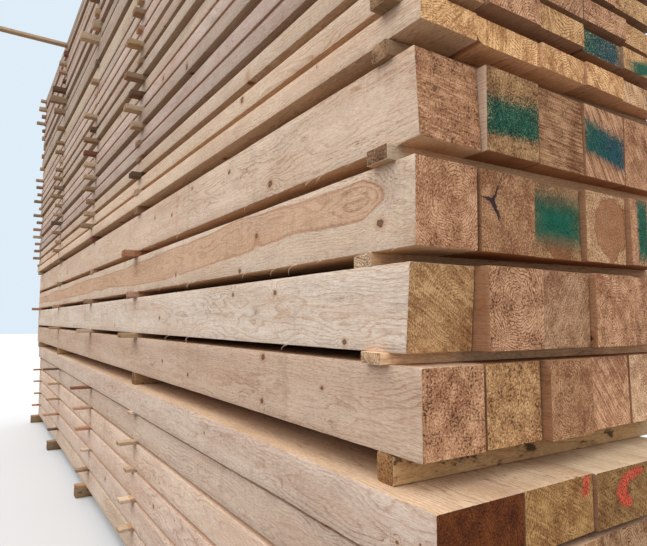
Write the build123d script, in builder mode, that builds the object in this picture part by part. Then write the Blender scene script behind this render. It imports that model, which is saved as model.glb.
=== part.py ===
from build123d import *
import os
import random
from math import hypot, radians, tan

# A yard pile of sawn softwood: three packs of timber, one on another. Every course lies on cross
# battens, the stickers, so that air reaches all its faces, and thicker bearers carry each pack.
# X runs along the timbers with the near ends at -X. The straight side of the pile is at +Y. Z is up
# from the ground. The origin is on the ground, under the middle of the pile. All sizes are in mm.

os.makedirs("parts", exist_ok=True)
rng = random.Random(4)

# Timbers
timber_length = 8400
side_gap = 3                    # left between timbers that lie side by side
length_spread = 22              # how far the far ends of a course stand in and out
end_spread = 16                 # the same for near ends that have no offset of their own
cut_spread = 1.0                # how far a saw cut is out of square, degrees

# Lower pack: heavy planks
lower_height = 150
lower_width = 285
lower_across = 4
lower_course_proud = (-14, -8, -8, -8, -8, 14)

# Middle pack: square beams, each course as sawn, from the bottom up
middle_heights = (217, 221, 222, 232)
middle_width = 225
middle_across = 5
middle_course_proud = (1, 5, 3, 0)
middle_narrower = ((13, 3, 19, 3, 0), (0, 1, 0, 13, 0), (10, 3, 0, 0, 0), (0, 3, 3, 1, 0))
middle_ends = ((-3, 5, -22, 4, 3), (36, -15, -10, -31, -14), (7, 4, 12, -7, -22), (3, -18, -10, -13, -14))
middle_leans = (0.0, -4.6, -0.8, 3.2)      # out of plumb of each corner beam's near end, degrees

# Upper pack: thin boards of mixed widths, with two courses of heavy planks among them
board_height = 75
board_widths = (200, 262, 214, 214, 245)
second_widths = (215, 215, 215, 227, 263)
plank_courses = (14, 15)        # courses of heavy planks among the boards, counted from the bottom
upper_course_proud = (
    1, -12, -10, -6, -20, -5, -15, -24, -3, -2, 2, -3, -9, -11, 4, -8, 0, 6, -5, 3, -7, 2, -4)
upper_ends = (0, -8)            # near-end offset of the first two courses, against their pack
first_wanes = (0, 24, 0, 0, 0)  # round corners left by the log on the lowest course
wane_chance = 0.16              # share of the other boards with such a corner
wane_least, wane_most = 12, 30
log_taper = 0.004               # how much a log's radius grows toward its butt, for each mm of length
butt_near_chance = 0.4          # share of those boards that have the thick end of the log at the near end
log_margin = 5                  # puts the log's axis past the middle, so that the other corners stay square

# Battens: stickers between courses, bearers under packs
half_length = timber_length / 2
near_inset, far_inset, ground_inset = 130, 170, 200     # end columns, in from the ends of the timbers
columns = (near_inset - half_length, -1600, -90, 1930, half_length - far_inset)
ground_columns = (ground_inset - half_length, -2000, 0, 2000, half_length - ground_inset)
middle_bearer_columns = (0, 1, 3, 4)
sticker_width = 76
wide_sticker = 88
bearer_width = 66
bearer_round = 9
bearer_overhang = 2
ground_bearer_width = 100
ground_bearer_height = 100
lower_gap = 20
middle_bearer_height = 75
middle_gaps = (30, 37, 41)
board_gap = 33
upper_gaps = (48, *[board_gap] * 13, 40, 55, 72, 53, board_gap, board_gap, 42, 53, board_gap)
bearer_turns = (-1.3, 0.4, -0.3, 0.2)       # how far the bearers are turned, degrees
near_places = ((25, -3.4), (90, -6.4), (-10, -2.4))     # near stickers of the middle pack: how far they
first_upper_place = (18, -3.6)                          # stand off their column and are turned; and the
first_upper_round = 14                                  # next one up, a rounded batten
sticker_slip = 22               # how far any other sticker may stand off its column
sticker_turn = 0.5              # how far it may be turned, degrees
hidden_overhang = (15, 95)      # how far battens reach past the far side of the pile
ground_overhang = 60

# How far each sticker reaches past the straight side, one row for each column, from the bottom up
lower_overhangs = ((40, 60, 30, 50, 35), (70, 73, 38, 93, 30), (86, 57, 98, 123, 152),
                   (93, 150, 122, 106, 165), (90, 70, 80, 90, 5))
middle_overhangs = ((25, 2, 28), (99, 51, 85), (109, 60, 12), (101, 70, 35), (10, 110, 12))
upper_overhangs = (
    (8, 40, 12, 60, 25, 70, 15, 55, 90, 35, 10, 65, 30, 80, 20, 45, 75, 15, 60, 35, 85, 25, 50),
    (5, 12, 48, 3, 8, 52, 95, 62, 95, 15, 92, 30, 60, 25, 70, 40, 85, 20, 55, 30, 75, 45, 20),
    (3, 84, 65, 50, 79, 79, 79, 84, 92, 41, 99, 5, 5, 50, 20, 149, 60, 35, 80, 25, 90, 45, 30),
    (6, 61, 44, 84, 96, 77, 60, 117, 84, 88, 72, 30, 80, 88, 75, 117, 165, 140, 38, 82, 80, 35, 900),
    (5, 20, 85, 75, 70, 95, 100, 60, 105, 35, 105, 65, 85, 95, 45, 30, 10, 40, 42, 121, 57, 95, 80))

# How the packs were set down: shift along the pile, how proud of the side, and turn in degrees
lower_set = (-88, 2, -0.45)
middle_set = (0, 0, 0.0)
upper_set = (-30, 27, 0.245)

middle_pitch = middle_width + side_gap
pack_width = middle_across * middle_pitch - side_gap
side_line = pack_width / 2


def pack_plane(set_down):
    """The ground plane of a pack, with y = 0 on its straight side and x = 0 at half its length."""
    shift, proud, turn = set_down
    return Plane(origin=(shift, side_line + proud, 0)).rotated((0, 0, turn))


def course_levels(bottom, gaps, heights):
    """The underside of each course, when every course lies on a gap of its own."""
    levels = []
    for gap, height in zip(gaps, heights):
        bottom += gap
        levels.append(bottom)
        bottom += height
    return levels, bottom


def timber(pack, end, side, width, bottom, height, lean=0.0, wane=0.0, butt_near=False):
    """One sawn timber: its section run along the pack, and its near end sawn a little out of square.

    With a wane it keeps some of the log's round outside at its lower outer corner. The log's axis lies
    as far in from that corner as up from it, and the log is a cone. So the wane is as wide as asked at
    the thin end of the log, narrows along the timber, and runs out where the cone clears the corner."""
    spare = height * abs(tan(radians(lean))) + end_spread
    start = end - half_length
    length = half_length + rng.uniform(-length_spread, length_spread) - start + spare
    skew = rng.uniform(-cut_spread, cut_spread)
    section = Plane(
        origin=pack.from_local_coords((start - spare, side, bottom)), x_dir=pack.y_dir, z_dir=pack.x_dir)
    saw_cut = Plane(
        origin=pack.from_local_coords((start, side - width / 2, bottom + height / 2)),
        z_dir=pack.y_dir * tan(radians(skew)) + pack.z_dir * tan(radians(lean)) - pack.x_dir)
    with BuildPart() as sawn:
        with BuildSketch(section):
            Rectangle(width, height, align=(Align.MAX, Align.MIN))
        extrude(amount=length)
        if wane:
            reach = (width + wane) / 2 + log_margin
            top_radius = hypot(reach, reach - wane)
            radii = [top_radius, top_radius + log_taper * length]
            if butt_near:
                radii.reverse()
            log_axis = Plane(
                origin=section.from_local_coords((-reach, reach)), x_dir=section.x_dir, z_dir=section.z_dir)
            with Locations(log_axis):
                Cone(*radii, length, align=(Align.CENTER, Align.CENTER, Align.MIN), mode=Mode.INTERSECT)
        split(bisect_by=saw_cut, keep=Keep.BOTTOM)
    return sawn.part


def batten(plane, place, overhang, width, bottom, height, reach_past, corner=0):
    """A batten across the pack, from past its straight side to past its far side. Its place is where it
    crosses the straight side, and how far it is turned there."""
    x, turn = place
    length = overhang + pack_width + reach_past
    with BuildPart() as piece:
        with BuildSketch(plane.offset(bottom)):
            with Locations(Location((x, 0, 0), (0, 0, turn))):
                with Locations((0, overhang - length / 2)):
                    Rectangle(width, length)
        extrude(amount=height)
        if corner:
            fillet(piece.edges().group_by(SortBy.LENGTH)[-1], radius=corner)
    return piece.part


def write_node(name, pieces):
    """Like pieces share a node, as solids that don't touch."""
    with BuildPart() as node:
        add(pieces)
    node.part.label = name
    export_step(node.part, f"parts/{name}.step")


def write_stickers(name, plane, column, overhangs, undersides, gaps, width, places=(), first_corner=0):
    """All the stickers of one column of a pack, one for each gap between courses."""
    stickers = []
    for number, (overhang, top, gap) in enumerate(zip(overhangs, undersides, gaps)):
        slip, turn = rng.uniform(-sticker_slip, sticker_slip), rng.uniform(-sticker_turn, sticker_turn)
        if number < len(places):
            slip, turn = places[number]
        corner = 0 if number else first_corner
        past = rng.uniform(*hidden_overhang)
        stickers.append(
            batten(plane, (columns[column] + slip, turn), overhang, width, top - gap, gap, past, corner))
    write_node(name, stickers)


# Levels of all the courses, from the ground up
lower_heights = (lower_height,) * len(lower_course_proud)
lower_gaps = (ground_bearer_height,) + (lower_gap,) * (len(lower_heights) - 1)
lower_levels, lower_top = course_levels(0, lower_gaps, lower_heights)
middle_levels, middle_top = course_levels(lower_top, (middle_bearer_height,) + middle_gaps, middle_heights)
upper_heights = [board_height] * len(upper_gaps)
for number in plank_courses:
    upper_heights[number - 1] = lower_height
upper_levels, upper_top = course_levels(middle_top, upper_gaps, upper_heights)

lower = pack_plane(lower_set)
middle = pack_plane(middle_set)
upper = pack_plane(upper_set)

# Ground bearers
for number, x in enumerate(ground_columns, 1):
    bearer = batten(
        middle, (x, 0), ground_overhang, ground_bearer_width, 0, ground_bearer_height, ground_overhang)
    write_node(f"ground_bearer_{number}", [bearer])

# Lower pack
for number, (level, proud) in enumerate(zip(lower_levels, lower_course_proud), 1):
    timbers = []
    for place in range(lower_across):
        side = proud - place * (lower_width + side_gap)
        end = rng.uniform(-end_spread, end_spread) / 2
        timbers.append(timber(lower, end, side, lower_width, level, lower_height))
    write_node(f"lower_course_{number}", timbers)
for column, overhangs in enumerate(lower_overhangs):
    write_stickers(f"lower_stickers_{column + 1}", lower, column, overhangs, lower_levels[1:], lower_gaps[1:],
                   sticker_width)

# Middle pack, and the bearers under it
for number, (column, turn) in enumerate(zip(middle_bearer_columns, bearer_turns), 1):
    bearer = batten(middle, (columns[column], turn), bearer_overhang, bearer_width, lower_top,
                    middle_bearer_height, rng.uniform(*hidden_overhang), bearer_round)
    write_node(f"middle_bearer_{number}", [bearer])
middle_rows = zip(
    middle_levels, middle_heights, middle_course_proud, middle_narrower, middle_ends, middle_leans)
for number, (level, height, proud, narrower, ends, corner_lean) in enumerate(middle_rows, 1):
    timbers = []
    for place in range(middle_across):
        lean = corner_lean if place == 0 else rng.uniform(-cut_spread, cut_spread)
        width = middle_width - narrower[place]
        timbers.append(timber(middle, ends[place], proud - place * middle_pitch, width, level, height, lean))
    write_node(f"middle_course_{number}", timbers)
for column, overhangs in enumerate(middle_overhangs):
    write_stickers(f"middle_stickers_{column + 1}", middle, column, overhangs, middle_levels[1:], middle_gaps,
                   wide_sticker, () if column else near_places)

# Upper pack
for number, (level, height, proud) in enumerate(zip(upper_levels, upper_heights, upper_course_proud), 1):
    widths = list(board_widths)
    if number == 2:
        widths = list(second_widths)
    elif height == lower_height:
        widths = [lower_width] * lower_across
    elif number > 2:
        rng.shuffle(widths)
    timbers = []
    side = proud
    for place, width in enumerate(widths):
        end = rng.uniform(-end_spread, end_spread)
        if number <= len(upper_ends):
            end = upper_ends[number - 1] + end / 2
        wane = rng.uniform(wane_least, wane_most) if rng.random() < wane_chance else 0
        if number == 1:
            wane = first_wanes[place]
        butt_near = number > 1 and rng.random() < butt_near_chance
        lean = rng.uniform(-cut_spread, cut_spread)
        timbers.append(timber(upper, end, side, width, level, height, lean, wane, butt_near))
        side -= width + side_gap
    write_node(f"upper_course_{number:02d}", timbers)
for column, overhangs in enumerate(upper_overhangs):
    write_stickers(f"upper_stickers_{column + 1}", upper, column, overhangs, upper_levels, upper_gaps,
                   sticker_width, () if column else (first_upper_place,), 0 if column else first_upper_round)

print("height of the pile", upper_top)
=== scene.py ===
# %% [markdown]
# A yard pile of sawn softwood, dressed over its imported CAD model. The model gives the place and the
# size of every timber, every sticker between the courses and every bearer under a pack. This script
# gives them what the saw and the tree left: growth rings that run from the sides into the end grain,
# knots, torn fibres, soft arrises, and the colour marks sprayed on some of the ends.

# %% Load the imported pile
from math import cos, pi, radians, sin
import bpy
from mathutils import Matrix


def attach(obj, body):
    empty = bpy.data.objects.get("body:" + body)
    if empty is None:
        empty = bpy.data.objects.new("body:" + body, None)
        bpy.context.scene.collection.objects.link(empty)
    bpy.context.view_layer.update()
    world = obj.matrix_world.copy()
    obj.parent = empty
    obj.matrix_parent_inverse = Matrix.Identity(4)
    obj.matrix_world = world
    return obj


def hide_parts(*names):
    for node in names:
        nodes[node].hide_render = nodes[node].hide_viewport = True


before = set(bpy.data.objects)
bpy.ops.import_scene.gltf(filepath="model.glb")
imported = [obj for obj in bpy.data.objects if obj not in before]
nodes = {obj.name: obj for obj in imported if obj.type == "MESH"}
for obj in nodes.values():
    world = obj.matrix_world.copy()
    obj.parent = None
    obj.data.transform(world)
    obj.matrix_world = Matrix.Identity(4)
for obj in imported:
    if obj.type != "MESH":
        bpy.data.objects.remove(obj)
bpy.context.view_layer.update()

from types import SimpleNamespace

import bpy
import numpy as np
from mathutils import Matrix, Vector


def add_object(name, data):
    thing = bpy.data.objects.new(name, data)
    bpy.context.scene.collection.objects.link(thing)
    return thing


# %% [markdown]
# The photograph was taken close to the corner of the pile, from a little above the foot of the second
# pack. The picture has strong perspective, so the place of the camera matters more than its lens. The
# place is measured from the beams' near ends and straight side, and the direction is given as a turn
# towards the pile, a tilt upwards and a roll.

# %% Camera
eye_ahead, eye_aside, eye_height = 0.9377, 0.878, 1.503  # off the ends, off the side, above ground
eye_turn, eye_tilt, eye_roll = 0.576505, 0.0864374, 0.000768  # in radians
focal_pixels, picture_width, sensor_width = 541.578, 647, 36
beam_ends, beam_side = -4.2, 0.5685  # where the near ends and the straight side lie

camera = add_object("camera", bpy.data.cameras.new("camera"))
bpy.context.scene.camera = camera
camera.data.sensor_width = sensor_width
camera.data.lens = sensor_width * focal_pixels / picture_width
camera.data.clip_start = 0.05
gaze = Vector((cos(eye_turn) * cos(eye_tilt), -sin(eye_turn) * cos(eye_tilt), sin(eye_tilt)))
aim = gaze.to_track_quat("-Z", "Y").to_matrix().to_4x4()
camera.matrix_world = (Matrix.Translation((beam_ends - eye_ahead, beam_side + eye_aside, eye_height))
                       @ aim @ Matrix.Rotation(eye_roll, 4, "Z"))
print("camera at", [round(v, 3) for v in camera.matrix_world.translation], "lens", round(camera.data.lens, 2))

# %% [markdown]
# Shader sums read best as sums. A Wire holds one output of a shader node. Adding or multiplying two of
# them, or one and a number, adds the Math node that does it, and Sheet.node makes any other node.
# Vectors and colours have their own sums, because a Math node would turn them grey.

# %% Shader sums
def math_node(operation, swapped=False):
    """A method of Wire that adds one Math node, with its two values swapped for a reflected form."""
    def method(self, *others):
        values = (self, *others)
        return self.sheet.math(operation, *(values[::-1] if swapped else values))
    return method


class Wire:
    """One output of a shader node, for use in a sum of values."""

    def __init__(self, sheet, socket):
        self.sheet, self.socket = sheet, socket

    __add__ = __radd__ = math_node("ADD")
    __mul__ = __rmul__ = math_node("MULTIPLY")
    __sub__, __rsub__ = math_node("SUBTRACT"), math_node("SUBTRACT", swapped=True)
    __truediv__, __rtruediv__ = math_node("DIVIDE"), math_node("DIVIDE", swapped=True)
    __pow__, __abs__ = math_node("POWER"), math_node("ABSOLUTE")
    least, most = math_node("MINIMUM"), math_node("MAXIMUM")
    sine, fraction, angle_over = math_node("SINE"), math_node("FRACT"), math_node("ARCTAN2")

    def plus(self, vector):
        """Two vectors added."""
        return self.sheet.node("ShaderNodeVectorMath", {0: self, 1: vector}, operation="ADD")

    def times(self, colour):
        """Two colours or vectors multiplied, number by number."""
        return self.sheet.node("ShaderNodeVectorMath", {0: self, 1: colour}, operation="MULTIPLY")

    def stretch(self, along, across):
        """A place in a log with its part along multiplied by one number, and both parts across by another."""
        return self.times((along, across, across))

    def noise(self, detail=2, roughness=0.5, output=0):
        """Cloudy noise from 0 to 1 at this place, whose lumps are about as large as one unit of it."""
        return self.sheet.node("ShaderNodeTexNoise", {"Vector": self, "Scale": 1, "Detail": detail,
                                                      "Roughness": roughness}, output)

    def parts(self):
        """The three numbers of a vector, each as a wire of its own."""
        apart = self.sheet.node("ShaderNodeSeparateXYZ", {0: self})
        return [Wire(self.sheet, output) for output in apart.socket.node.outputs]

    def ease(self, low, high, to_low=0, to_high=1):
        """Rises smoothly from to_low to to_high while this value goes from low to high. Low may be the
        higher number: then the result falls as the value rises."""
        return self.sheet.node("ShaderNodeMapRange", {0: self, 1: low, 2: high, 3: to_low, 4: to_high},
                               interpolation_type="SMOOTHSTEP")


class Sheet:
    """The node tree of a material or of the sky."""

    def __init__(self, owner):
        owner.use_nodes = True
        self.tree = owner.node_tree

    def node(self, kind, sockets=(), output=0, stops=(), **settings):
        """Any node: its settings are set first, then its sockets get their values or links."""
        made = self.tree.nodes.new(kind)
        for name, value in settings.items():
            setattr(made, name, value)
        for place, (position, shade) in enumerate(stops):
            if place >= len(made.color_ramp.elements):
                made.color_ramp.elements.new(position)
            made.color_ramp.elements[place].position = position
            made.color_ramp.elements[place].color = (shade, shade, shade, 1)
        for key, value in dict(sockets).items():
            if isinstance(value, Wire):
                self.tree.links.new(value.socket, made.inputs[key])
            else:
                made.inputs[key].default_value = value
        return Wire(self, made.outputs[output])

    def math(self, operation, *values):
        return self.node("ShaderNodeMath", dict(enumerate(values)), operation=operation)

    def attribute(self, name):
        return self.node("ShaderNodeAttribute", output=1, attribute_name=name)

    def mix(self, share, first, second):
        """The colour first, going over to second as share goes from 0 to 1."""
        return self.node("ShaderNodeMix", {0: share, 6: first, 7: second}, 2, data_type="RGBA")

    def layered(self, wood, *layers):
        """The colour wood with layers laid over it, each a share and a colour."""
        for share, colour in layers:
            wood = self.mix(share, wood, colour)
        return wood


class Finish(Sheet):
    """A material whose tree ends in one Principled shader."""

    def __init__(self, name, roughness):
        self.material = bpy.data.materials.new(name)
        super().__init__(self.material)
        self.shader = self.tree.nodes["Principled BSDF"]
        self.shader.inputs["Roughness"].default_value = roughness
        self.shader.inputs["Specular IOR Level"].default_value = 0.25

    def end_in(self, colour, height=None):
        """Ends the tree in a colour and, where given, a height in millimetres."""
        self.tree.links.new(colour.socket, self.shader.inputs["Base Color"])
        if height is not None:
            bump = self.node("ShaderNodeBump", {"Height": height, "Distance": 0.001})
            self.tree.links.new(bump.socket, self.shader.inputs["Normal"])
        print(self.material.name, "has", len(self.tree.nodes), "shader nodes")
        return self.material


def paint(red, green, blue):
    """A colour as a paint chart gives it, 0 to 255, as the linear numbers that a shader reads."""
    shares = np.array((red, green, blue)) / 255
    linear = np.where(shares <= 0.04045, shares / 12.92, ((shares + 0.055) / 1.055) ** 2.4)
    return (*linear.tolist(), 1)

# %% [markdown]
# The rings of a tree are the same rings on the side of a timber and on its end, so both finishes read
# one place: the attribute "log", which says how far a point lies along the log and off its pith. The
# distance off the pith, counted in ring widths, gives pale early wood and dark late wood. Slow noise
# bends the pith along the log, and this alone draws the arches that a flat-sawn face shows.

# %% Growth rings
ring_width = 0.0072
pith_wander = 0.034           # how far the pith strays, peak to peak
ring_waves = 0.062            # how far the rings swing off their circle
ring_tremble = 0.015          # and how far small waves move them
heart_waves = 0.018           # how far the outline of the heartwood swings


def distance(right, rise):
    """The length of a flat step: the square root of the sum of both squares."""
    return (right * right + rise * rise) ** 0.5


def moved(place, cloud, swing):
    """A place in a log, moved across it by a cloud of noise. Swing is how far, peak to peak."""
    return place.plus(cloud.plus((-0.5, -0.5, -0.5)).stretch(0, swing))


def growth_rings(sheet):
    """Radius is the length of the place across the log after slow noise has moved it. The outline of
    the heartwood is calmer: heart is the distance off the pith with hardly any waves."""
    log = sheet.attribute("log")
    bent = moved(log, log.stretch(0.55, 1.2).noise(1, output=1), pith_wander)
    fine = log.stretch(2.6, 9).noise(output=1)
    finer = log.stretch(5, 34).noise(1, output=1)
    _, wide, high = moved(bent, fine, heart_waves).parts()
    along, across, up = moved(moved(bent, fine, ring_waves), finer, ring_tremble).parts()
    return SimpleNamespace(log=log, along=along, radius=distance(across, up),
                           angle=up.angle_over(across), heart=distance(wide, high))


def late_wood(sheet, radius):
    """How dark each ring is. The count of rings is the radius over the ring width, and its fractional
    part is the place within a ring."""
    return sheet.node("ShaderNodeValToRGB", {0: (radius / ring_width).fraction()},
                      stops=((0, 0.6), (0.08, 0), (0.6, 0.08), (0.84, 0.7), (0.94, 1)))

# %% [markdown]
# A branch leaves a knot where the saw crosses it. Branches grow from the pith outwards, so in the log
# a knot is a spoke: a place along the log and an angle round it. The knots of the near beams are
# listed as the photograph shows them, and noise in cells places all the others.

# %% Knots
knot_reach = 5.4              # how many knot sizes away the rings still bend round a knot
knot_push = 0.018             # how far it moves them
knot_stretch = 1.25           # how much longer than high a knot is
near_part = 2.35              # how far back the near beams' knots are listed
far_off = 50                  # a distance beyond any knot, in knot sizes
knot_cell, knot_turn = 0.62, 2 * pi / 3  # the cell that holds one knot: along, and round the pith
near_knots = (                # along the side face from the near ends, height above the eye, size, in mm
    (764, 485, 14), (1136, 614, 10), (1590, 640, 8), (1900, 558, 10), (2220, 592, 9),
    (140, 249, 13), (864, 310, 11), (1010, 190, 10), (1800, 230, 11),
    (711, 92, 10), (1066, 99, 9), (298, -61, 9), (2060, 10, 10),
    (805, -131, 13), (809, -285, 10), (420, -200, 7), (1590, -260, 9), (2000, -220, 9))


def placed_knots(sheet):
    """Distance to the nearest knot of the list, counted in knot sizes, and where that list holds: on
    the near part of the straight side."""
    x, y, z = sheet.node("ShaderNodeTexCoord", output=3).parts()
    nearest = None
    for along, above, size in near_knots:
        right = (x - (beam_ends + along / 1000)) / (size / 1000 * knot_stretch)
        rise = (z - (eye_height + above / 1000)) / (size / 1000)
        away = distance(right, rise)
        nearest = away if nearest is None else nearest.least(away)
    face = y.ease(beam_side - 0.03, beam_side - 0.02)
    return nearest, face * x.ease(beam_ends + near_part + 0.01, beam_ends + near_part)


def scattered_knots(sheet, rings):
    """Each cell holds one knot somewhere. The result is counted in knot sizes, as above."""
    cell = sheet.node("ShaderNodeCombineXYZ", {0: rings.along / knot_cell, 1: rings.angle / knot_turn})
    cells = sheet.node("ShaderNodeTexVoronoi", {"Vector": cell, "Scale": 1}, 2, voronoi_dimensions="2D")
    chance = Wire(sheet, cells.socket.node.outputs["Color"]).parts()[0]
    middle_along, middle_round, _ = cells.parts()
    right = rings.along - middle_along * knot_cell
    rise = (rings.angle - middle_round * knot_turn) * rings.radius
    size = chance.ease(0.35, 1, 0.0015, 0.015)
    return (right * right * 0.7 + rise * rise) ** 0.5 / size

# %% [markdown]
# Now the finish of the sawn sides. Fresh softwood is a pale pinkish cream. Late wood is an orange
# brown, strongest where the saw runs along a ring. The saw leaves faint lines across the grain, and
# where it runs against the fibres it tears short dark dashes out of the late wood.

# %% Sides as sawn
def sawn_sides(name, pale, brown, knots_by_hand=False, knot_size=1, mould=0,
               top=(1.04, 0.96, 0.86, 1), under=(0.92, 0.8, 0.66, 1)):
    """Base colour is pale, going over to brown by late wood, heartwood, streaks and knots. Height is
    fibres and specks less torn dashes, in millimetres. Faces that look up or down take the tints top and
    under, painted light and shade: both warmer, under darker. Mould is how black the damp spots are."""
    sheet = Finish(name, 0.82)
    rings = growth_rings(sheet)
    log = rings.log
    knots = scattered_knots(sheet, rings) / knot_size
    if knots_by_hand:
        placed, where = placed_knots(sheet)
        knots = (knots + where * far_off).least(placed + (1 - where) * far_off)
    swirl = knots.ease(knot_reach, 0.5)
    late = late_wood(sheet, rings.radius + swirl * knot_push)
    ragged = log.stretch(90, 130).noise(2, 0.6)
    knots = knots + (ragged - 0.5) * 0.9
    heart_radius = sheet.attribute("heart").parts()[0]
    bark = sheet.attribute("grain").parts()[2]
    fibre = log.stretch(9, 300).noise(2, 0.6)
    speck = log.stretch(60, 420).noise(2, 0.6)
    streak = log.stretch(1.2, 40).noise(3)
    cloud = log.stretch(1.6, 7).noise(3)
    blotch = log.stretch(9, 18).noise(3, 0.6)
    saw = log.stretch(150, 6).noise(1)
    passes = log.stretch(11, 1.5).noise(3, 0.7)
    band = log.stretch(1.4, 9).noise().ease(0.32, 0.66, 0.22, 1)
    tearing = log.stretch(2.4, 9).noise().ease(0.44, 0.64, 0.05, 1)
    torn = log.stretch(60, 380).noise(2, 0.7).ease(0.5, 0.6) * tearing
    inside = rings.heart + swirl * 0.012 - heart_radius
    dark_heart = inside.ease(0.002, -0.004)
    rim = abs(inside).ease(0, 0.004, 0.75, 0) * heart_radius.ease(0.01, 0.02)
    wood = sheet.layered(
        pale,
        (dark_heart * 0.62, paint(208, 156, 116)),
        (late * (band * 0.58 + dark_heart * 0.24), brown),
        (rim, paint(176, 116, 78)),
        (cloud.ease(0.35, 0.75, 0, 0.4), brown),
        (blotch.ease(0.45, 0.8, 0, 0.35), paint(172, 148, 132)),
        (streak.ease(0.5, 0.8, 0, 0.35), paint(184, 142, 108)),
        (passes.ease(0.56, 0.74, 0, 0.22), paint(150, 124, 106)),
        (fibre.ease(0.62, 0.3, 0, 0.22), paint(150, 112, 84)),
        (speck.ease(0.5, 0.32, 0, 0.36), paint(140, 104, 80)),
        (speck.ease(0.52, 0.7, 0, 0.3), paint(246, 232, 214)),
        (torn * late * 0.6, paint(112, 80, 58)),
        (saw.ease(0.5, 0.8, 0, 0.1), paint(242, 226, 208)),
        (knots.ease(0.9, 2.2, 0.5, 0), paint(182, 128, 84)),
        (knots.ease(0.6, 1.05, 0.92, 0), paint(84, 58, 42)),
        (knots.ease(0.25, 0.65, 0.6, 0), paint(140, 112, 94)),
        (bark.ease(0.25, 0.6) * 0.7, paint(120, 84, 60)))
    if mould:
        spots = log.stretch(5, 11).noise(4, 0.75)
        wood = sheet.mix(spots.ease(0.55, 0.63, 0, mould), wood, paint(52, 42, 34))
    # Painted light and shade by facing: upward faces take the top tint, downward faces the under tint.
    upright = sheet.node("ShaderNodeTexCoord", output=1).parts()[2]
    facing_light_tint = sheet.mix(upright.ease(0.5, 0.8), (1, 1, 1, 1), top)
    facing_light_tint = sheet.mix(upright.ease(-0.5, -0.8), facing_light_tint, under)
    height = fibre * 0.4 + speck * 0.3 - torn * 0.5
    return sheet.end_in(wood.times(sheet.attribute("tone")).times(facing_light_tint), height)

# %% [markdown]
# End grain is darker, because the light sinks into the open fibres. A rough crosscut leaves pale
# flecks and dark pits a few millimetres wide, in streaks that follow the saw. Rings, a darker heart,
# star shakes and a sprayed mark lie over that. Marks are plain patches, strokes and dabs of colour.

# %% Ends as sawn
spray_colours = (paint(4, 112, 88), paint(0, 92, 104), paint(255, 108, 80))
teal, blue, coral, coral_stroke = 1, 2, 3, 4  # the kinds of mark
stroke_radius, stroke_half = 0.8, 0.29  # of a loose stroke, in half sizes of the mark
shake_reach, shake_wobble = 0.058, 0.022  # how far a star shake runs and how it bends


def kind_from(kind, first):
    """1 where the kind of a mark is this one or a later one, else 0."""
    return kind.ease(first - 0.6, first - 0.4)


def sprayed(sheet, fleck, coarseness):
    """The attribute "mark" is a place on the end, counted in half sizes of the mark from its middle, and
    a kind. The first three kinds cover what lies within 1 of the middle both ways, and the fourth is a
    loose stroke round it. Fine drops blur the edges, the upper one most, and on a smooth end they fade
    over a wider strip. The pale flecks of the wood take less of the colour. Blue goes over from teal."""
    log = sheet.attribute("log")
    rough = log.stretch(34, 34).noise(3, 0.7)
    drops = log.stretch(300, 300).noise(1)
    right, rise, kind = sheet.attribute("mark").parts()
    reach = abs(right).most(abs(rise) * rise.ease(-0.2, 0.2, 1, 0.75))
    stroke = abs(distance(right, rise) - stroke_radius) / stroke_half
    stroke = stroke + (right + rise * 0.4).ease(-0.3, 0.2, 2, 0)
    drawn = kind_from(kind, coral_stroke)
    reach = reach * (1 - drawn) + stroke * drawn
    loose = rise.ease(-0.7, 1, 0.4, 2.2) * (0.3 + coarseness)
    reach = reach + (rough - 0.5) * 0.5 + (drops - 0.5) * loose + (fleck - 0.5) * coarseness
    reach = (reach - 0.85) * coarseness.ease(0, 0.3, 0.42, 1) + 0.85
    grainy = (fleck * 0.5 + drops * 0.5 - 0.5) * coarseness.ease(0, 0.5, 0.4, 1.2)
    cover = reach.ease(1.15, 0.6) * grainy.ease(0.03, 0.15, 0.98, 0.6)
    second = kind_from(kind, blue) * right.ease(-0.5, 1, 1, 0.15)
    colour = sheet.layered(spray_colours[0], (second, spray_colours[1]),
                           (kind_from(kind, coral), spray_colours[2]))
    colour = sheet.mix(grainy.ease(0.05, -0.09, 0, 0.9), colour, colour.times((0.18, 0.18, 0.18)))
    colour = sheet.mix(rough.ease(0.35, 0.65, 0.5, 0), colour, colour.times((0.4, 0.4, 0.4)))
    return cover * kind_from(kind, teal), colour


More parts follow.
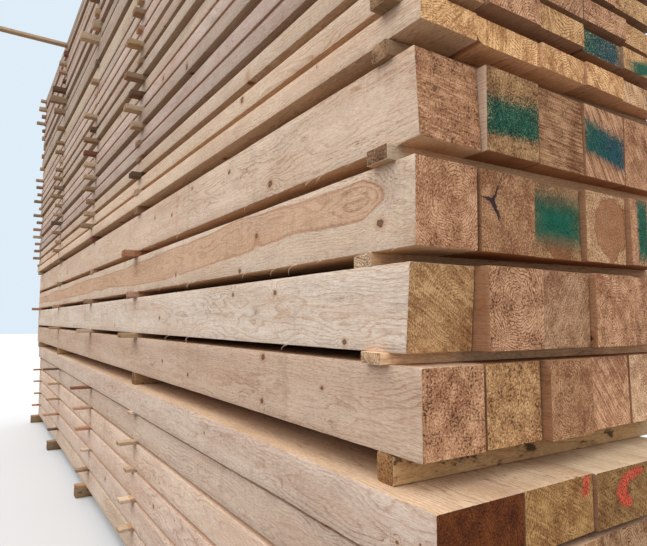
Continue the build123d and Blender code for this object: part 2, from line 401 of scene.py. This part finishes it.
def sawn_ends(name, pale, brown):
    """Base colour goes from brown to pale by flecks and rings, and to near black in pits and shakes.
    Height is flecks and saw streaks less pits and shakes, in millimetres. Heartwood shows as a plain
    dark blot where the rings are weak."""
    sheet = Finish(name, 0.88)
    rings = growth_rings(sheet)
    log = rings.log
    along_saw, over_saw, saw_strength = sheet.attribute("cut").parts()
    heart_radius, shake_width, shake_turn = sheet.attribute("heart").parts()
    coarseness, ring_strength, _ = sheet.attribute("grain").parts()
    streaks = sheet.node("ShaderNodeCombineXYZ", {0: along_saw * 9, 1: over_saw * 150, 2: rings.along})
    streaks = streaks.noise(3, 0.65)
    flecks = log.stretch(180, 180).noise(2, 0.65)
    lumps = log.stretch(165, 165).noise(3, 0.7)
    cloud = log.stretch(9, 9).noise(3)
    patch = log.stretch(26, 26).noise()
    fleck = flecks * (1 - coarseness) + lumps * coarseness
    surface = fleck * (1 - saw_strength) + ((streaks - 0.5) * 1.5 + flecks * 0.4 + 0.3) * saw_strength
    late = late_wood(sheet, rings.radius)
    ringed = (late - 0.35) * ring_strength * (cloud + patch - 0.5).ease(0.36, 0.62, -0.08, -0.4)
    shade = 0.5 + (surface - 0.5) * (0.9 + coarseness * 0.2) + ringed
    shade = shade + (cloud - 0.5) * 0.3 + (patch - 0.5) * 0.28
    bright = (surface + ringed * 0.5 + (patch - 0.5) * 0.5).ease(0.54, 0.64) * (0.35 + coarseness * 0.25)
    pits = (fleck + (patch - 0.5) * 0.3).ease(0.43, 0.37) * (coarseness * coarseness * 1.4 + 0.05)

    lobes = sheet.node("ShaderNodeCombineXYZ", {0: rings.angle * 1.7, 1: rings.along}).noise(4, 0.75)
    tip = abs(rings.angle + pi / 2).ease(0, 0.5, 0.24, 0)
    inside = rings.heart * (1 + (lobes - 0.5) * 0.8 - tip) - heart_radius
    weak_rings = ring_strength.ease(0.65, 0.55)
    dark_heart = inside.ease(0.002, -0.002) * weak_rings
    rim = abs(inside).ease(0, 0.004, 0.55, 0) * heart_radius.ease(0.01, 0.02) * weak_rings

    ray = abs(((rings.angle - shake_turn) * 1.5).sine()) * rings.radius * 0.667
    room = shake_width * (1 - rings.radius / shake_reach).most(0)
    wobble = (log.stretch(45, 45).noise() - 0.5) * shake_wobble * rings.radius.ease(0, 0.03)
    shaken = shake_width.ease(0, 0.0005)
    halo = (room * 2.2 - ray).ease(-0.004, 0.012) * shaken
    shake = (room - abs(ray + wobble)).ease(-0.0012, 0.0006) * shaken
    wood = sheet.layered(
        sheet.mix(shade.ease(0.24, 0.7), brown, pale),
        (cloud.ease(0.5, 0.3, 0, 0.25), paint(150, 92, 60)),
        (bright * 0.75, paint(240, 204, 166)),
        (pits * 0.8, paint(70, 38, 20)),
        (dark_heart * 0.62, paint(146, 88, 54)),
        (rim, paint(96, 54, 32)),
        (halo * 0.4, paint(112, 78, 70)))
    cover, colour = sprayed(sheet, fleck, coarseness)
    split = sheet.mix(shake.ease(0.9, 1), paint(96, 70, 70), paint(52, 36, 40))
    wood = sheet.layered(wood.times(sheet.attribute("tone")), (cover, colour), (shake * 0.94, split))
    return sheet.end_in(wood, surface * (2.4 + coarseness * 8) - pits * 3 - shake * 3)


board_paints = (paint(222, 200, 182), paint(172, 130, 100))
# The beams' under tint and the top planks' top tint are painted shade and painted light.
fresh_sides = sawn_sides("beam_sides", paint(226, 204, 184), paint(184, 138, 102), knots_by_hand=True,
                         under=(1.04, 0.86, 0.66, 1))
board_sides = sawn_sides("board_sides", *board_paints)
topmost_sides = sawn_sides("topmost_sides", *board_paints, knot_size=0.5, top=(1.06, 0.95, 0.77, 1))
sticker_sides = sawn_sides("sticker_sides", paint(222, 198, 172), paint(180, 140, 104), knot_size=0.4)
bearer_sides = sawn_sides("bearer_sides", paint(216, 190, 160), paint(170, 130, 96), knot_size=0.4,
                          mould=0.85)
fresh_ends = sawn_ends("timber_ends", paint(206, 160, 121), paint(122, 76, 45))

# %% [markdown]
# A CAD node holds the timbers of one course, or one column of battens, as solids that don't touch.
# The imported mesh is loose triangles, so its corners are welded by their place first. Corners that
# share a triangle then take the lowest number among them, over and over, until each solid has one
# number of its own.

# %% Find the sawn pieces in a node
corner_signs = np.array(((1, 1), (-1, 1), (-1, -1), (1, -1)))  # across and up, once round the section
tuck = 0.00006                # how far the skin of an end stays inside the model
end_zone = 0.03               # points no further than this from the last one belong to an end
flat_within = 1e-4            # points no further than this off a flat face lie in it


def solids_of(node):
    """The welded corner points of each separate solid."""
    mesh = nodes[node].data
    corners = np.empty(len(mesh.vertices) * 3, np.float32)
    mesh.vertices.foreach_get("co", corners)
    faces = np.empty(len(mesh.loops), np.int32)
    mesh.loops.foreach_get("vertex_index", faces)
    points, weld = np.unique(corners.reshape(-1, 3).astype(float).round(5), axis=0, return_inverse=True)
    faces = weld.ravel()[faces].reshape(-1, 3)
    label = np.arange(len(points))
    while True:
        spread = label.copy()
        np.minimum.at(spread, faces.ravel(), label[faces].min(1).repeat(3))
        if (spread == label).all():
            return [points[label == one] for one in np.unique(label)]
        label = spread


def measure(points, toward):
    """A sawn piece as its own directions and sizes. Along goes from the middle of the near end to that
    of the far end. Across lies flat. Each end is a plane: how far along a point of it is, as a sum of
    its places across and up. Each long corner has an inset, the width of its round or its wane on the
    flat faces, at the places along where the solid has points."""
    reach = points @ np.array(toward, float)
    near, far = reach < reach.min() + end_zone, reach > reach.max() - end_zone
    origin, end = ((points[here].min(0) + points[here].max(0)) / 2 for here in (near, far))
    along = end - origin
    along /= np.linalg.norm(along)
    across = np.cross((0, 0, 1), along)
    across /= np.linalg.norm(across)
    axes = np.stack((along, across, np.cross(along, across)))
    local = (points - origin) @ axes.T
    planes = []
    for here in (near, far):
        known = np.c_[np.ones(here.sum()), local[here, 1:]]
        planes.append(np.linalg.lstsq(known, local[here, 0], rcond=None)[0])
    planes[0][0] += tuck
    planes[1][0] -= tuck
    low, high = local[:, 1:].min(0), local[:, 1:].max(0)
    insets = []
    for right, up in corner_signs > 0:
        level, edge = (high if up else low)[1], (high if right else low)[0]
        here = (abs(local[:, 2] - level) < flat_within) & ((local[:, 1] > (low[0] + high[0]) / 2) == right)
        order = np.argsort(local[here, 0])
        insets.append((local[here, 0][order], abs(local[here, 1] - edge)[order]))
    return SimpleNamespace(origin=origin, axes=axes, near=planes[0], far=planes[1], low=low, high=high,
                           middle=(low + high) / 2, insets=insets)


def sawn_pieces(node, toward):
    """The pieces of a node, measured: timbers from the straight side on, battens from the lowest up."""
    found = [measure(points, toward) for points in solids_of(node)]
    by_height = toward[0] == 0
    return sorted(found, key=lambda piece: piece.origin[2] if by_height else -piece.origin[1])


along_pile, across_pile = (1, 0, 0), (0, -1, 0)
for piece in sawn_pieces("middle_course_4", along_pile):
    print("a beam", (piece.high - piece.low).round(4).tolist(), "m wide and high")

# %% [markdown]
# A sawn timber is a section carried along a line. The section is a rectangle whose corners, the
# arrises, are broken unevenly: the radius of each arris is a random number that is smoothed along the
# length, with a torn stretch here and there. Rings of points lie close together at the near end,
# where the eye is, and further apart along the rest.

# %% Skin of a sawn piece
rng = np.random.default_rng(18)
end_share = 0.0004            # where the first row behind an end lies, as a share of the length
arris_least, arris_gain, arris_from = 0.5, 1.6, 0.3  # the radius of an arris, from its random number
tear_from, tear_depth = 0.7, 8  # how rare torn stretches are, and how deep
blunt, shrink = 0.6, 0.5  # an end's arrises are rounder, and its section smaller
wane_from, broad_from = 0.011, 0.15  # bark shows on rounds this wide, of timbers this broad


def smoothed(count, reach):
    """A row of random numbers from 0 to 1, each the mean of its neighbours within reach."""
    row = rng.random(count + 2 * reach)
    window = np.ones(2 * reach + 1) / (2 * reach + 1)
    return np.convolve(row, window, "valid")


def skin(piece, steps, side_points, arris, torn, corner_points=3, growth=3.2):
    """Point (i, j): i counts along the piece and j round its section. The section's corner is a quarter
    circle about a point that lies one radius inside both sides, and its sides are straight between.
    From row to row the steps along the piece grow, by e to the power growth in all."""
    share = (np.exp(growth * np.linspace(0, 1, steps)) - 1) / (np.exp(growth) - 1)
    share = np.r_[0, end_share, share[1:-1], 1 - end_share, 1]
    count = len(share)
    radius = np.stack([arris * (arris_least + arris_gain * (smoothed(count, 1) - arris_from).clip(0))
                       for _ in range(4)], 1)
    tears = np.stack([(smoothed(count, 2) - tear_from).clip(0) for _ in range(4)], 1)
    radius = radius + torn * tears * tear_depth
    radius[[0, -1]] += arris * blunt
    stations = piece.near[0] * (1 - share) + piece.far[0] * share
    waned = np.stack([np.interp(stations, *inset) for inset in piece.insets], 1)
    radius = np.maximum(radius, waned)
    turn = np.linspace(0, pi / 2, corner_points) + np.arange(4)[:, None] * pi / 2
    inset = np.zeros((count, 1))
    inset[[0, -1]] = arris * shrink
    half = (piece.high - piece.low) / 2 - inset
    centre = corner_signs * (half[:, None, :] - radius[:, :, None])
    arc = centre[:, :, None, :] + radius[:, :, None, None] * np.stack((np.cos(turn), np.sin(turn)), -1)
    blend = np.linspace(0, 1, side_points + 2)[1:-1][:, None]
    straight = arc[:, :, -1:, :] * (1 - blend) + np.roll(arc, -1, 1)[:, :, :1, :] * blend
    section = np.concatenate((arc, straight), 2).reshape(count, -1, 2) + piece.middle
    flat = np.concatenate((np.ones(section.shape[:2] + (1,)), section), 2)
    along = (flat @ piece.near) * (1 - share[:, None]) + (flat @ piece.far) * share[:, None]
    bark = np.zeros(section.shape[:2])
    if piece.high[0] - piece.low[0] > broad_from:
        for corner in range(4):
            rounded = corner * (corner_points + side_points) + np.arange(1, corner_points - 1)
            bark[:, rounded] = waned[:, corner:corner + 1] > wane_from
    return np.concatenate((along[..., None], section), 2), bark

# %% [markdown]
# Each timber also gets its own character, written to its points as attributes: where the pith lies in
# its section, which way the saw crossed its end, how dark its heart is, and where a sprayed mark
# sits. All are places or plain numbers, which Blender fills in between the points in straight lines,
# so a few points a timber are enough.

# %% Character of a timber
no_mark = (0, 0, 1, 1, 0, 0)


def character(**given):
    """What a timber looks like: random where nothing is given."""
    here = dict(pith=rng.uniform(-0.04, 0.04, 2), drift=rng.uniform(-0.006, 0.006, 2), path=(),
                saw=rng.uniform(0, pi), streaks=rng.uniform(0, 0.5), heart=0,
                coarse=rng.uniform(0.1, 0.8), rings=rng.uniform(0.2, 0.9),
                shake=0, turn=rng.uniform(-3, 3), mark=no_mark,
                side=rng.uniform(0.92, 1.04) + rng.uniform(-0.02, 0.02, 3), flank=None,
                end=rng.uniform(0.86, 1.08) + rng.uniform(-0.04, 0.04, 3))
    return SimpleNamespace(**{**here, **given})


def turned(flat, angle):
    """Places on an end, as read along a direction at this angle and across it."""
    return flat @ (cos(angle), sin(angle)), flat @ (-sin(angle), cos(angle))


def attributes_of(piece, local, bark, look):
    """The attributes of a timber's points. Log is the place off the pith, which drifts along the log.
    Cut is the place on the end turned to the saw's direction. Mark is the place on the near end from
    the middle of the mark, turned with it and counted in its half sizes."""
    flat = local[..., 1:] - piece.middle
    offset = rng.uniform(0, 300)
    pith = np.array(look.pith) + local[..., :1] * np.array(look.drift)
    if look.path:
        known, *places = np.array(look.path).T
        pith = np.stack([np.interp(local[..., 0], known, place) for place in places], -1)
    log = np.concatenate((local[..., :1] + offset, flat - pith), -1)
    everywhere = np.ones(bark.shape)
    saw = np.stack((*turned(flat, look.saw), look.streaks * everywhere), -1)
    right, rise, half_wide, half_high, turn, kind = look.mark
    wide, high = turned(flat - (right, rise), turn)
    mark = np.stack((wide / half_wide, high / half_high, kind * everywhere), -1)
    mark[len(mark) // 2:, :, 2] = 0
    heart = np.broadcast_to((look.heart, look.shake, look.turn), log.shape)
    grain = np.stack((look.coarse * everywhere, look.rings * everywhere, bark), -1)
    return dict(log=log, cut=saw, mark=mark, heart=heart, grain=grain)

# %% [markdown]
# The last step puts the skins of a course together into one mesh: rings of points become quads, and
# each end is closed by one flat face with the end-grain finish. The tone, a colour that multiplies the
# finish, belongs to faces: an end can be redder than the sides, and sides that look at a neighbour are
# darker than the open sides, painted shade between the timbers.

# %% One mesh from many skins
side_zone = 0.006             # quads no further than this off a side belong to it


def side_tones(piece, local, look):
    """A tone for every quad of a skin, by where its middle lies: on the left flank, the right flank, the
    top, or elsewhere. Left looks out of the straight side of the pile. Faces that look at a neighbour
    take the shaded tone, painted shade, and the part of a batten that sticks out of the pile keeps the
    side tone, as it lies in the light."""
    middle = (local[:-1] + np.roll(local[:-1], -1, 1) + local[1:] + np.roll(local[1:], -1, 1)) / 4
    tones = np.broadcast_to(look.shut, middle.shape).copy()
    tones[middle[..., 1] > piece.high[0] - side_zone] = look.left
    tones[middle[..., 1] < piece.low[0] + side_zone] = look.right
    tones[middle[..., 2] > piece.high[1] - side_zone] = look.top
    if look.batten:
        tones[abs((middle @ piece.axes + piece.origin)[..., 1]) > beam_side] = look.side
    return tones.reshape(-1, 3)


def write(mesh, name, domain, rows):
    """Adds an attribute of three numbers a point or a face."""
    values = np.concatenate(rows).astype(np.float32).ravel()
    mesh.attributes.new(name, "FLOAT_VECTOR", domain).data.foreach_set("vector", values)


def build(name, skins, sides, slot):
    """Skins is a list of (piece, local points, attributes, look), and sides is their finish."""
    points, quads, caps, tones, end_tones, extra = [], [], [], [], [], {}
    start = 0
    for piece, local, attributes, look in skins:
        rows, columns = local.shape[:2]
        points.append((local @ piece.axes + piece.origin).reshape(-1, 3))
        for key, value in attributes.items():
            extra.setdefault(key, []).append(value.reshape(-1, 3))
        i, j = np.meshgrid(start + np.arange(rows - 1) * columns, np.arange(columns), indexing="ij")
        after = i + (j + 1) % columns
        quads.append(np.stack((after, after + columns, i + j + columns, i + j), -1).reshape(-1, 4))
        near_cap = np.arange(start, start + columns)
        caps += [near_cap[::-1].tolist(), (near_cap + (rows - 1) * columns).tolist()]
        tones.append(side_tones(piece, local, look))
        end_tones += [look.end, look.end]
        start += rows * columns
    quads = np.concatenate(quads)
    mesh = bpy.data.meshes.new(name)
    mesh.from_pydata(np.concatenate(points).tolist(), [], quads.tolist() + caps)
    is_end = np.arange(len(mesh.polygons)) >= len(quads)
    mesh.polygons.foreach_set("material_index", is_end.astype(np.int32))
    for key, rows in extra.items():
        write(mesh, key, "POINT", rows)
    write(mesh, "tone", "FACE", (*tones, end_tones))
    mesh.validate()
    mesh.shade_smooth()
    mesh.set_sharp_from_angle(angle=radians(38))
    for finish in (sides, fresh_ends):
        mesh.materials.append(finish)
    thing = add_object(name, mesh)
    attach(thing, "root")
    return thing

# %% [markdown]
# The middle pack is what the photograph is about: four courses of five square beams, with the saw
# cut of every end plain to see. Each near beam gets the colours, rings, streaks and marks of its own.

# %% Looks of the near beams
red, pink, yellow, brown, grey, light = (
    np.array(tone) for tone in ((1.02, 0.94, 0.92), (1.08, 1.02, 1.02), (0.98, 1, 0.84),
                                (0.84, 0.78, 0.72), (0.98, 1, 1.04), (1.22, 1.3, 1.3)))
second_pith = (               # along, across, up: the second beam's heartwood shows as a band on its side
    (0, -0.03, 0.02), (0.08, -0.022, 0.024), (0.13, -0.003, 0.028), (0.2, 0.008, 0.032),
    (0.5, 0.01, 0.035), (0.85, 0.014, 0.03), (1, 0.023, 0.03), (1.3, 0.016, 0.012), (2.2, 0.019, 0),
    (4, 0.012, 0.01), (8.5, 0, 0))
beam_looks = {
    "middle_course_4": (
        dict(side=(0.95, 0.94, 0.92), end=red * 1.03, pith=(-0.02, 0.01), streaks=0.35,
             saw=0.08, coarse=0.66, rings=0.2),
        dict(flank=(0.92, 0.88, 0.84), end=yellow * 0.92, pith=(0.02, -0.1), streaks=0,
             coarse=0.7, rings=0.1, mark=(0, -0.018, 0.15, 0.05, -0.05, teal)),
        dict(end=brown, pith=(-0.03, 0.06), streaks=0.65, saw=0.06, coarse=0.5, rings=0.4),
        dict(end=pink, pith=(0.12, 0.1), streaks=0.95, saw=0.985, coarse=0.2, rings=0.3,
             mark=(0, -0.008, 0.15, 0.05, 0.16, blue)),
        dict(end=red * 1.02, streaks=0.3, saw=0.9, coarse=0.5, rings=0.5)),
    "middle_course_3": (
        dict(side=(0.91, 0.92, 0.9), end=pink * 1.02, path=second_pith, heart=0.112, streaks=0,
             coarse=0.45, rings=0.68),
        dict(end=brown * 1.02, pith=(0.058, 0.027), streaks=0, shake=0.0066, turn=0, coarse=0.1, rings=0.3),
        dict(end=brown * (0.95, 1, 0.94), pith=(0, -0.01), heart=0.092, streaks=0, coarse=0,
             rings=0.3, mark=(0, -0.004, 0.16, 0.06, 0.03, teal)),
        dict(end=light * 0.94, pith=(-0.02, 0.005), heart=0.094, streaks=0, coarse=0, rings=0.3),
        dict(end=pink, pith=(0.03, 0.05), coarse=0.2, rings=0.3, mark=(0.036, 0, 0.036, 0.105, 0, teal))),
    "middle_course_2": (
        dict(side=(0.96, 1.03, 1.09), end=yellow * 1.06, pith=(-0.05, -0.01), streaks=0.38,
             saw=0.55, coarse=0.2, rings=0.45),
        dict(end=pink * 1.04, pith=(0.01, 0.03), streaks=0, coarse=0.7, rings=0.85),
        dict(end=grey * 0.95, pith=(0, -0.05), streaks=0.2, coarse=0.2, rings=0.4),
        dict(end=pink * 1.06, pith=(0.02, -0.03), streaks=0, coarse=0.5, rings=0.8),
        dict(end=pink, pith=(0.05, 0.08), coarse=0.6)),
    "middle_course_1": (
        dict(side=(0.79, 0.75, 0.72), end=pink * 1.14, pith=(0, -0.03), streaks=0, coarse=0.78, rings=0.1),
        dict(end=yellow * (1.25, 1.22, 1.22), pith=(0.08, 0.12), streaks=0, coarse=0.78, rings=0.1),
        dict(end=brown * 1.05, pith=(0.01, 0.04), streaks=0, heart=0.035, coarse=0.4, rings=0.7),
        dict(end=pink * (1.14, 1.18, 1.22), pith=(-0.05, -0.02), streaks=0.5, saw=0.9, coarse=0.2, rings=0.6),
        dict(end=light * yellow * (1.12, 1.15, 1.5), pith=(0.04, 0), coarse=0.1, rings=0.2))}

# %% Middle pack
near_beam = dict(steps=90, side_points=6, arris=0.0028, torn=0.004)


def dress(node, looks, size, sides, slot, inner, toward=along_pile, open_top=False):
    """Replaces a node by the skins of its sawn pieces, one look each. Sides that look at a neighbour, and
    those of battens, take painted shade: the side tone times the inside tone given here."""
    skins = []
    pieces = sawn_pieces(node, toward)
    for number, (piece, given) in enumerate(zip(pieces, looks)):
        look = character(**given)
        look.batten, last = toward == across_pile, number == len(pieces) - 1
        # Painted shade: the tone of faces that look at a neighbour.
        shut = look.side * np.array(inner)
        look.shut = shut if number or look.batten else look.side
        look.top = look.side if open_top else look.shut
        look.right = look.side if last and not look.batten else shut
        look.left = look.shut if look.flank is None else look.flank
        local, bark = skin(piece, **size)
        skins.append((piece, local, attributes_of(piece, local, bark, look), look))
    thing = build(node + "_wood", skins, sides, slot)
    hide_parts(node)
    return thing


for node, looks in beam_looks.items():
    # The inside tone darkens the beams' faces that look at a neighbour: painted shade.
    made = dress(node, looks, near_beam, fresh_sides, "beam_wood", (0.56, 0.38, 0.26))
    print(made.name, len(made.data.polygons), "faces")

# %% [markdown]
# A saw that leaves the wood tears thin slivers off the lower edge. Some still hang on the near beams,
# each a hair of pale wood with three sides that curls away and down.

# %% Slivers that hang from the lower edges
sliver_finish = Finish("sliver_wood", 0.8)
sliver_finish.shader.inputs["Base Color"].default_value = paint(238, 216, 188)
sliver_radius, sliver_root = 0.0017, 0.001  # its thickness, and how deep in the edge it starts
sliver_swing, sliver_fall = 0.3, 1.3
sliver_start, sliver_span, sliver_crowding = 0.03, 2.6, 1.6  # they hang closest together at the near ends


def sliver(piece, start, length, drop):
    """With t, the place down the sliver from 0 to 1, along rises evenly, up falls as t to the power
    sliver_fall, across swings out and back as half a sine wave, and the radius shrinks as the square
    root of what is left."""
    t = np.linspace(0, 1, 7)
    line = np.stack((start + length * t, piece.high[0] - sliver_root + sliver_swing * drop * np.sin(pi * t),
                     piece.low[1] + sliver_root - drop * t ** sliver_fall), -1)
    turn = np.arange(3) * 2 * pi / 3
    ring = np.stack((np.zeros(3), np.cos(turn), np.sin(turn)), -1)
    radius = sliver_radius * (1.01 - t) ** 0.5
    return (line[:, None, :] + ring * radius[:, None, None]) @ piece.axes + piece.origin


hairs = []
for node, count in (("middle_course_4", 20), ("middle_course_3", 12), ("middle_course_2", 4)):
    beam = sawn_pieces(node, along_pile)[0]
    for place in rng.uniform(0, 1, count) ** sliver_crowding * sliver_span + sliver_start:
        hairs.append(sliver(beam, place, rng.uniform(0.02, 0.08), rng.uniform(0.006, 0.034)))
rows, sides = hairs[0].shape[:2]
start, j, k = np.meshgrid(
    np.arange(len(hairs)) * rows * sides, np.arange(rows - 1), np.arange(sides), indexing="ij")
first, after = start + j * sides + k, start + j * sides + (k + 1) % sides
sliver_mesh = bpy.data.meshes.new("slivers")
sliver_mesh.from_pydata(np.concatenate(hairs).reshape(-1, 3).tolist(), [],
                        np.stack((first, after, after + sides, first + sides), -1).reshape(-1, 4).tolist())
sliver_mesh.materials.append(sliver_finish.material)
slivers = add_object("slivers", sliver_mesh)
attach(slivers, "root")
print(len(hairs), "slivers")

# %% [markdown]
# The heavy planks of the lower pack and the thin boards of the upper pack are the same surfaces with
# fewer points. The top course of planks shows its broad faces and dark wet ends near the camera.

# %% Planks and boards
plank = dict(steps=40, side_points=3, arris=0.003, torn=0.004)
board = dict(steps=30, side_points=2, arris=0.002, torn=0.003)
# The second tone darkens the left flanks of the top planks behind the first: painted shade between them.
stained, shut_in = (0.31, 0.145, 0.05), (0.4, 0.28, 0.2)
ochre = np.array((0.84, 0.8, 0.54))
near_looks = {
    "lower_course_6": (
        dict(side=(0.92, 0.94, 0.96), end=stained, coarse=0.5, rings=0.4),
        dict(side=(0.9, 0.94, 0.94), flank=shut_in, end=ochre, coarse=0.3, rings=0.6, streaks=0.4,
             saw=0.5, mark=(-0.11, 0.045, 0.016, 0.026, 0.2, coral)),
        dict(side=(0.92, 1.02, 1.04), flank=shut_in, end=ochre * 0.74, coarse=0.5, rings=0.5,
             mark=(-0.055, 0.01, 0.1, 0.052, 0, coral_stroke)),
        dict(side=(0.94, 1.06, 1.08), flank=shut_in, end=stained)),
    "upper_course_01": (
        dict(side=(1.04, 1.02, 0.95), end=yellow * 1.55),
        dict(end=yellow * 1.7, rings=0.8, coarse=0.3), dict(end=yellow * 1.55, rings=1, coarse=0.2),
        dict(end=yellow * 1.6, rings=1, coarse=0.2),
        dict(end=light * 1.1, streaks=0.8, saw=1.2, mark=(-0.1, 0.01, 0.06, 0.05, 0.3, blue))),
    "upper_course_02": (
        dict(side=(1, 0.98, 0.9), end=pink), dict(end=pink * 1.1),
        dict(end=yellow * 1.3, rings=1),
        dict(end=yellow * 1.3, mark=(0, 0, 0.13, 0.047, 0, blue)),
        dict(end=yellow * 1.3, rings=0.8, mark=(-0.03, -0.008, 0.13, 0.024, -0.2, teal)))}


def weathered(least, most):
    """A random tone for a side: between two brightnesses, and a little pinker or greyer."""
    return rng.uniform(least, most) * np.array((1, rng.uniform(0.99, 1.03), rng.uniform(0.95, 1.08)))


def course_looks(node, count, least, most, flat=False):
    """A look for each timber of a course: drawn at random, under what is given. The pith of a
    flat board lies above or below it."""
    for look in near_looks.get(node, [{}] * count):
        here = dict(side=weathered(least, most))
        if flat:
            here["pith"] = (rng.uniform(-0.08, 0.08), rng.choice((-1, 1)) * rng.uniform(0.05, 0.14))
            here["end"] = rng.uniform(0.95, 1.3) * (yellow if rng.random() < 0.6 else pink)
            here["rings"] = rng.uniform(0.5, 1)
        yield {**here, **look}


for node in sorted(name for name in nodes if name.startswith("lower_course")):
    topmost = node == "lower_course_6"
    # The inside tone is painted shade; the open top of the top course keeps the side tone.
    made = dress(node, course_looks(node, 4, 0.82, 1.04), plank, topmost_sides if topmost else board_sides,
                 "plank_wood", (0.76, 0.7, 0.64), open_top=topmost)
print("lower pack, last", made.name, len(made.data.polygons), "faces")
for number, node in enumerate(sorted(name for name in nodes if name.startswith("upper_course"))):
    lightest = np.interp(number, (0, 6, 22), (1, 0.91, 0.82))
    looks = course_looks(node, 5, lightest - 0.26, lightest, True)
    # The inside tone is painted shade, and on the first board course painted light that lifts its inside
    # faces.
    made = dress(node, looks, board, board_sides, "board_wood",
                 (0.66, 0.56, 0.48) if number else (1.45, 1.18, 0.94), open_top=node == "upper_course_23")
print("upper pack, last", made.name, len(made.data.polygons), "faces")

# %% [markdown]
# The battens across the pile are offcuts of every colour: fresh white, yellow, orange, red brown and
# old grey. Each is a skin too, laid from the straight side to the far side. Those that show most in the
# photograph get their own colour, counted from the bottom of their column.

# %% Stickers and bearers
batten = dict(steps=14, side_points=1, arris=0.002, torn=0.002, growth=1)
# Inside tones: painted shade on sides within the pile. The bearers' brightness of 1.2 is painted light.
bearers = SimpleNamespace(sides=bearer_sides, slot="bearer_wood", bright=1.2, end=(0.66, 0.6, 0.52),
                          inner=(0.98, 0.88, 0.76))
stickers = SimpleNamespace(sides=sticker_sides, slot="sticker_wood", bright=1, end=(0.95, 0.95, 0.92),
                           inner=(0.88, 0.74, 0.6))
nearest_inside_light = (1.2, 1, 0.82)  # painted light: the inside tone of the stickers at the near ends, where light comes in
batten_colours = dict(white=(1.1, 1.22, 1.32), cream=(0.92, 0.96, 0.95), straw=(0.8, 0.78, 0.64),
                      orange=(0.82, 0.6, 0.52), rose=(0.86, 0.74, 0.74), redwood=(0.4, 0.23, 0.2),
                      tan=(0.6, 0.56, 0.5), dark=(0.26, 0.22, 0.2), old=(0.48, 0.47, 0.44),
                      bright=(1.3, 1.4, 1.4), grey=(0.52, 0.54, 0.54))
usual = ("cream", "tan", "straw", "cream", "old", "tan", "rose", "orange")
seen = {
    "middle_stickers_1": "bright cream cream", "middle_stickers_2": "straw rose orange",
    "lower_stickers_2": "cream white cream cream white", "lower_stickers_3": "tan white orange rose redwood",
    "lower_stickers_4": "dark rose straw straw dark",
    "upper_stickers_1": "grey", "upper_stickers_2": "tan cream dark tan tan cream cream dark tan tan straw",
    "upper_stickers_3": "redwood tan cream tan tan cream cream redwood tan dark",
    "upper_stickers_4":
        "tan tan cream tan dark cream tan tan old tan tan cream tan tan tan tan tan dark dark rose cream "
        "redwood cream"}
for row, names in (("ground_bearer_", "tan old tan old tan"), ("middle_bearer_", "straw tan straw cream")):
    seen.update((row + str(number), name) for number, name in enumerate(names.split(), 1))
near_ends = {"middle_stickers_1": ((0.82, 0.86, 0.94), (1.24, 1.5, 1.8), (0.46, 0.43, 0.42)),
             "upper_stickers_1": ((1.15, 1.12, 1.05),)}  # those nearest the eye, counted likewise

for node in sorted(name for name in nodes if "sticker" in name or "bearer" in name):
    kind = bearers if "bearer" in node else stickers
    names, ends = seen.get(node, "").split(), near_ends.get(node, ())
    looks = []
    for place in range(len(solids_of(node))):
        name = names[place] if place < len(names) else rng.choice(usual)
        colour = np.array(batten_colours[name]) * rng.uniform(0.9, 1.05) * kind.bright
        end = ends[place] if place < len(ends) else kind.end
        looks.append(dict(side=colour, end=colour * end, pith=rng.uniform(-0.08, 0.08, 2)))
    made = dress(node, looks, batten, kind.sides, kind.slot,
                 nearest_inside_light if node.endswith("stickers_1") else kind.inner, across_pile)
print("stickers and bearers dressed, last", made.name)

# %% [markdown]
# A plain pale floor and an even sky. The sky lights the pile from all round, and one broad lamp beyond
# the open side gives the side faces their plain brightness, so that the ends fall off a little. The
# floor and the sky show their pale colour to the camera only.

# %% Floor, sky and lamp
floor_finish = Finish("floor_plain", 0.9)
floor_finish.end_in(floor_finish.mix(
    floor_finish.node("ShaderNodeLightPath"), (0.26, 0.25, 0.24, 1), (0.66, 0.67, 0.68, 1)))
floor_mesh = bpy.data.meshes.new("floor")
half_floor = 60
floor_mesh.from_pydata([(half_floor * x, half_floor * y, 0) for x, y in ((-1, -1), (1, -1), (1, 1), (-1, 1))],
                       [], [(0, 1, 2, 3)])
floor_mesh.materials.append(floor_finish.material)
floor = add_object("floor", floor_mesh)

world = bpy.data.worlds.new("sky")
bpy.context.scene.world = world
sky = Sheet(world)
sky.tree.nodes.clear()
glow = sky.node("ShaderNodeTexCoord").parts()[2].ease(-0.2, 1, 0.48, 1.66)
lit_by = sky.node("ShaderNodeBackground", {0: (0.98, 0.985, 1, 1), 1: glow})
seen_as = sky.node("ShaderNodeBackground", {0: (0.74, 0.85, 0.94, 1)})
choice = sky.node("ShaderNodeMixShader", {0: sky.node("ShaderNodeLightPath"), 1: lit_by, 2: seen_as})
sky.tree.links.new(choice.socket, sky.tree.nodes.new("ShaderNodeOutputWorld").inputs[0])

lamp = add_object("broad_lamp", bpy.data.lights.new("broad_lamp", "SUN"))
lamp.data.energy, lamp.data.angle = 1.28, radians(70)
lamp.data.color = (1, 0.98, 0.95)
lamp.matrix_world = Vector((0.05, 1, 1.15)).to_track_quat("Z", "Y").to_matrix().to_4x4()
bpy.context.scene.view_settings.view_transform = "Standard"
